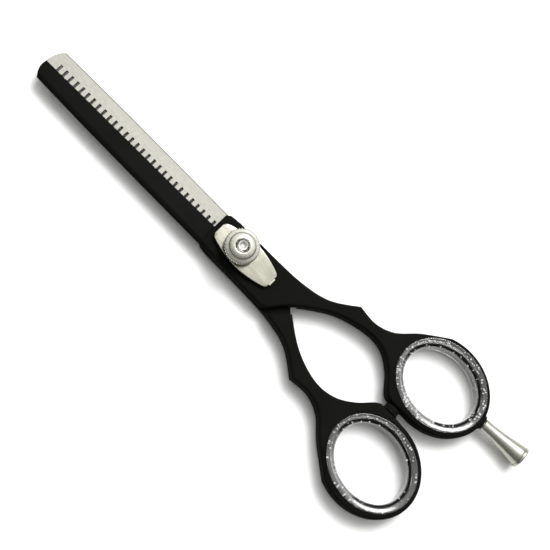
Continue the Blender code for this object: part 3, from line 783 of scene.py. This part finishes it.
def make_insert(name, ring, turned_over, look, body, node):
    """A spool-shaped ring insert with soft round lips."""
    centre, turn = insert_frame(ring, turned_over)
    top = 2 * MEETING_Z
    lip = [(0.0, 1.75), (0.03, 1.5), (0.14, 1.2), (0.32, 0.92), (0.56, 0.66), (0.82, 0.43),
           (1.05, 0.27), (1.22, 0.19), (1.4, 0.145), (1.65, 0.095), (1.9, 0.05), (2.12, 0.01),
           (2.25, 0.0), (2.34, 0.04), (2.4, 0.14), (LIP_REACH, 0.34), (LIP_REACH, RING_FACE),
           (SEATED, RING_FACE), (SEATED, 2.0)]
    section = lip + [(reach, top - z) for reach, z in reversed(lip)]
    bm = bmesh.new()
    rows = []
    for reach, z in section:
        half_axes = (INSERT_HOLE[0] + reach, INSERT_HOLE[1] + reach)
        rows.append([bm.verts.new((x, y, z)) for x, y in ellipse(centre, half_axes, turn)])
    for a, b in zip(rows, rows[1:] + rows[:1]):
        for k in range(len(a)):
            n = (k + 1) % len(a)
            bm.faces.new((a[k], b[k], b[n], a[n]))
    return finish(draft(bm, name), name, [look], body, node, sharp=60.0)


def make_glitter(name, ring, turned_over, look, body, count, seed):
    """Silver flakes inside an insert: thin hexagons, lying more or less flat."""
    rng = random.Random(seed)
    centre, turn = insert_frame(ring, turned_over)
    top = 2 * MEETING_Z
    bm = bmesh.new()
    for index in range(count):
        angle = rng.uniform(0.0, 2 * math.pi)
        if index % 2:
            reach, z = rng.uniform(0.35, 1.1), rng.uniform(1.3, top - 1.3)
        else:
            reach = rng.uniform(1.35, 2.2)
            z = rng.uniform(0.4, 0.9)
            z = top - z if index % 8 else z
        half_axes = (INSERT_HOLE[0] + reach, INSERT_HOLE[1] + reach)
        (x, y), = ellipse(centre, half_axes, turn, angle, angle + 1.0, 1)[:1]
        size = rng.uniform(*FLAKE_RADIUS)
        facing = Vector((rng.uniform(-0.5, 0.5), rng.uniform(-0.5, 0.5), 1.0))
        tilt = facing.to_track_quat("Z", "Y").to_matrix().to_4x4()
        flake = bmesh.ops.create_cone(bm, cap_ends=True, segments=6, radius1=size, radius2=size,
                                      depth=FLAKE_THICK)
        bmesh.ops.transform(bm, matrix=Matrix.Translation((x, y, z)) @ tilt, verts=flake["verts"])
    return finish(draft(bm, name), name, [look], body, None, weight=False)


def make_bumper(look):
    """A rubber stop: a stem in the thumb ring, a flange and a blunt nose."""
    flange_top = BUMPER_STEM_L + BUMPER_FLANGE_L
    profile = [(0.0, 0.0), (BUMPER_STEM_R - 0.15, 0.0), (BUMPER_STEM_R, 0.15),
               (BUMPER_STEM_R, BUMPER_STEM_L),
               (BUMPER_FLANGE_R - 0.1, BUMPER_STEM_L), (BUMPER_FLANGE_R, BUMPER_STEM_L + 0.12),
               (BUMPER_FLANGE_R - 0.03, flange_top - 0.15), (BUMPER_FLANGE_R - 0.15, flange_top - 0.02),
               (BUMPER_NOSE_R - 0.08, flange_top), (BUMPER_NOSE_R - 0.08, flange_top + 0.15),
               (BUMPER_NOSE_R, flange_top + 0.25), (BUMPER_NOSE_R, BUMPER_L - 0.35),
               (BUMPER_NOSE_R - 0.12, BUMPER_L - 0.16), (BUMPER_NOSE_R - 0.4, BUMPER_L - 0.05),
               (0.0, BUMPER_L)]
    obj = turned("stop", profile, bumper_place(), 64)
    return finish(obj, "bumper_moulded", [look], "toothed_half", "bumper")


def rest_radius(share):
    """The finger rest's radius along its length: a plain neck, then a trumpet's flare."""
    past_neck = max(0.0, share - REST_NECK) / (1.0 - REST_NECK)
    return REST_NECK_R + REST_FLARE * past_neck ** 1.5


def make_finger_rest(look):
    """A stud in the finger ring, a flared horn and a rim behind a fine groove."""
    steps = 30
    rim_at = REST_LENGTH - REST_RIM_L
    profile = [(0.0, -REST_STUD_L), (REST_STUD_R - 0.15, -REST_STUD_L),
               (REST_STUD_R, -REST_STUD_L + 0.15),
               (REST_STUD_R, 0.0), (REST_NECK_R - 0.12, 0.0), (REST_NECK_R - 0.02, 0.08)]
    profile += [(rest_radius(step / steps), rim_at * step / steps) for step in range(1, steps)]
    profile += [(REST_RIM_R - 0.2, rim_at - 0.12), (REST_RIM_R - 0.24, rim_at),
                (REST_RIM_R - 0.2, rim_at + 0.1),
                (REST_RIM_R - 0.05, rim_at + 0.14), (REST_RIM_R, rim_at + 0.22),
                (REST_RIM_R, REST_LENGTH - 0.25), (REST_RIM_R - 0.07, REST_LENGTH - 0.08),
                (REST_RIM_R - 0.25, REST_LENGTH), (0.7, REST_LENGTH), (0.0, REST_LENGTH - 0.12)]
    obj = turned("rest", profile, finger_rest_place(), 96)
    return finish(obj, "finger_rest_plated", [look], "finger_rest", "finger_rest")


# ---- set: camera, lights, floor --------------------------------------------------------------------
LIGHT_FROM = (0.10, -0.56, 0.82)
WORLD_STRENGTH = 3.7
WORLD_TONES = [(0.30, (0.045, 0.045, 0.043)), (0.60, (0.075, 0.075, 0.072)),
               (0.78, (0.13, 0.13, 0.127)), (0.90, (0.33, 0.33, 0.325)),
               (0.968, (0.45, 0.45, 0.45)), (0.983, (0.6, 0.6, 0.6)),
               (0.99, (2.9, 2.9, 2.9)), (1.0, (3.3, 3.3, 3.3))]
HORIZON = (0.12, 0.50)     # sines of the elevations between which the studio's walls brighten
HORIZON_SHARE = 0.12
FLOOR_HALF = 20.0
FLOOR_Z = -0.00002
KEY_DISTANCE = 0.9
KEY_SIZE = 0.8
KEY_POWER = 5.3
CAMERA_LENS = 87.7
CAMERA_AT = (-0.00506, 0.0949, 0.3491)
CAMERA_TARGET = (-0.01153, -0.0029, 0.0036)
CAMERA_UP = (0.6971, -0.7170, 0.0)


def make_stage():
    bm = bmesh.new()
    bmesh.ops.create_grid(bm, x_segments=8, y_segments=8, size=FLOOR_HALF)
    mesh = bpy.data.meshes.new("floor")
    bm.to_mesh(mesh)
    bm.free()
    floor = bpy.data.objects.new("floor", mesh)
    floor.location = (0.0, 0.0, FLOOR_Z)
    bpy.context.scene.collection.objects.link(floor)
    made, tree, shader = new_material("pale_paper")
    tree.links.new(two_tone(tree, noise(tree, 120.0), (0.90, 0.90, 0.90), (0.93, 0.93, 0.93)),
                   shader.inputs["Base Color"])
    shader.inputs["Roughness"].default_value = 0.9
    shader.inputs["Specular IOR Level"].default_value = 0.1
    mesh.materials.append(made)


def aim(obj, target, up_hint=None):
    """Turns a lamp or camera to its target."""
    view = Vector(target) - Vector(obj.location)
    if up_hint is None:
        obj.rotation_euler = view.to_track_quat("-Z", "Y").to_euler()
        return
    back = -view.normalized()
    right = Vector(up_hint).cross(back).normalized()
    up = back.cross(right)
    obj.rotation_euler = Matrix((right, up, back)).transposed().to_euler()


def make_key_light():
    lamp = bpy.data.lights.new("key_light", "AREA")
    lamp.shape = "DISK"
    lamp.size = KEY_SIZE
    lamp.energy = KEY_POWER
    obj = bpy.data.objects.new("key_light", lamp)
    obj.location = tuple(KEY_DISTANCE * x for x in LIGHT_FROM)
    obj.visible_glossy = False     # polished pieces mirror the pale studio, not the lamp's disk
    aim(obj, (-0.01, 0.0, 0.0))
    bpy.context.scene.collection.objects.link(obj)


def make_world():
    """A pale studio, brightest beyond the finger side of the shears and dark behind the camera."""
    world = bpy.data.worlds.new("studio")
    bpy.context.scene.world = world
    world.use_nodes = True
    tree = world.node_tree
    spot = add(tree, "ShaderNodeTexCoord")
    along = add(tree, "ShaderNodeVectorMath", operation="DOT_PRODUCT")
    along.inputs[1].default_value = Vector(LIGHT_FROM).normalized()
    ramp = add(tree, "ShaderNodeMapRange")
    ramp.inputs["From Min"].default_value = -1.0
    ramp.inputs["From Max"].default_value = 1.0
    tones = add(tree, "ShaderNodeValToRGB")
    elements = tones.color_ramp.elements
    elements[0].position, elements[0].color = WORLD_TONES[0][0], (*WORLD_TONES[0][1], 1.0)
    elements[1].position, elements[1].color = WORLD_TONES[-1][0], (*WORLD_TONES[-1][1], 1.0)
    for position, colour in WORLD_TONES[1:-1]:
        elements.new(position).color = (*colour, 1.0)
    back = tree.nodes["Background"]
    tree.links.new(spot.outputs["Generated"], along.inputs[0])
    tree.links.new(along.outputs["Value"], ramp.inputs["Value"])
    tree.links.new(ramp.outputs["Result"], tones.inputs["Fac"])
    tree.links.new(tones.outputs["Color"], back.inputs["Color"])
    split = add(tree, "ShaderNodeSeparateXYZ")
    walls = add(tree, "ShaderNodeMapRange")
    walls.inputs["From Min"].default_value = HORIZON[0]
    walls.inputs["From Max"].default_value = HORIZON[1]
    walls.inputs["To Min"].default_value = WORLD_STRENGTH * HORIZON_SHARE
    walls.inputs["To Max"].default_value = WORLD_STRENGTH
    tree.links.new(spot.outputs["Generated"], split.inputs["Vector"])
    tree.links.new(split.outputs["Z"], walls.inputs["Value"])
    tree.links.new(walls.outputs["Result"], back.inputs["Strength"])


def make_camera():
    camera = bpy.data.cameras.new("camera")
    camera.lens = CAMERA_LENS
    camera.sensor_width = 36.0
    camera.clip_start = 0.01
    obj = bpy.data.objects.new("camera", camera)
    obj.location = CAMERA_AT
    aim(obj, CAMERA_TARGET, CAMERA_UP)
    bpy.context.scene.collection.objects.link(obj)
    bpy.context.scene.camera = obj


def give_look(node, look):
    """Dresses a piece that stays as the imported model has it."""
    node.data.materials.clear()
    node.data.materials.append(look)


def main():
    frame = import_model()
    bpy.context.scene.view_settings.view_transform = "Standard"

    coat = black_coat()
    steel = ground_steel()
    make_straight_half(coat, steel)
    make_toothed_half(coat, steel)
    make_pivot_screw(plated("turned_steel", (0.50, 0.50, 0.47), (0.66, 0.65, 0.61), 0.2, 0.32))
    make_tension_plate(plated("bright_nickel", (0.305, 0.30, 0.248), (0.346, 0.34, 0.28), 0.14, 0.24,
                              900.0, (0.2, 1.0, 1.0)))
    make_thumb_nut(plated("bright_chrome", (0.48, 0.475, 0.42), (0.55, 0.543, 0.485), 0.08, 0.16))
    silicone = clear_silicone()
    silver = plastic("pearl_flake", (0.90, 0.90, 0.90), (0.97, 0.97, 0.97), 0.3, 0.45)
    make_insert("finger_insert_clear", STRAIGHT, False, silicone, "straight_half",
                "finger_ring_insert")
    make_insert("thumb_insert_clear", TOOTHED, True, silicone, "toothed_half",
                "thumb_ring_insert")
    make_glitter("finger_insert_glitter", STRAIGHT, False, silver, "straight_half",
                 230, 11)
    make_glitter("thumb_insert_glitter", TOOTHED, True, silver, "toothed_half",
                 120, 29)
    make_bumper(plastic("bumper_rubber", (0.004, 0.004, 0.004), (0.008, 0.008, 0.008), 0.6, 0.75,
                        ior=1.12))
    make_finger_rest(plated("satin_chrome", (0.38, 0.375, 0.328), (0.435, 0.428, 0.374), 0.34, 0.42))
    nylon = plastic("natural_nylon", (0.70, 0.69, 0.65), (0.78, 0.77, 0.73), 0.4, 0.55)
    give_look(frame["nodes"]["glide_washer"], nylon)
    give_look(frame["nodes"]["pivot_bush"], nylon)
    give_look(frame["nodes"]["plate_washer"],
              plated("washer_steel", (0.55, 0.55, 0.52), (0.68, 0.68, 0.65), 0.2, 0.35))

    make_stage()
    make_world()
    make_key_light()
    make_camera()


main()
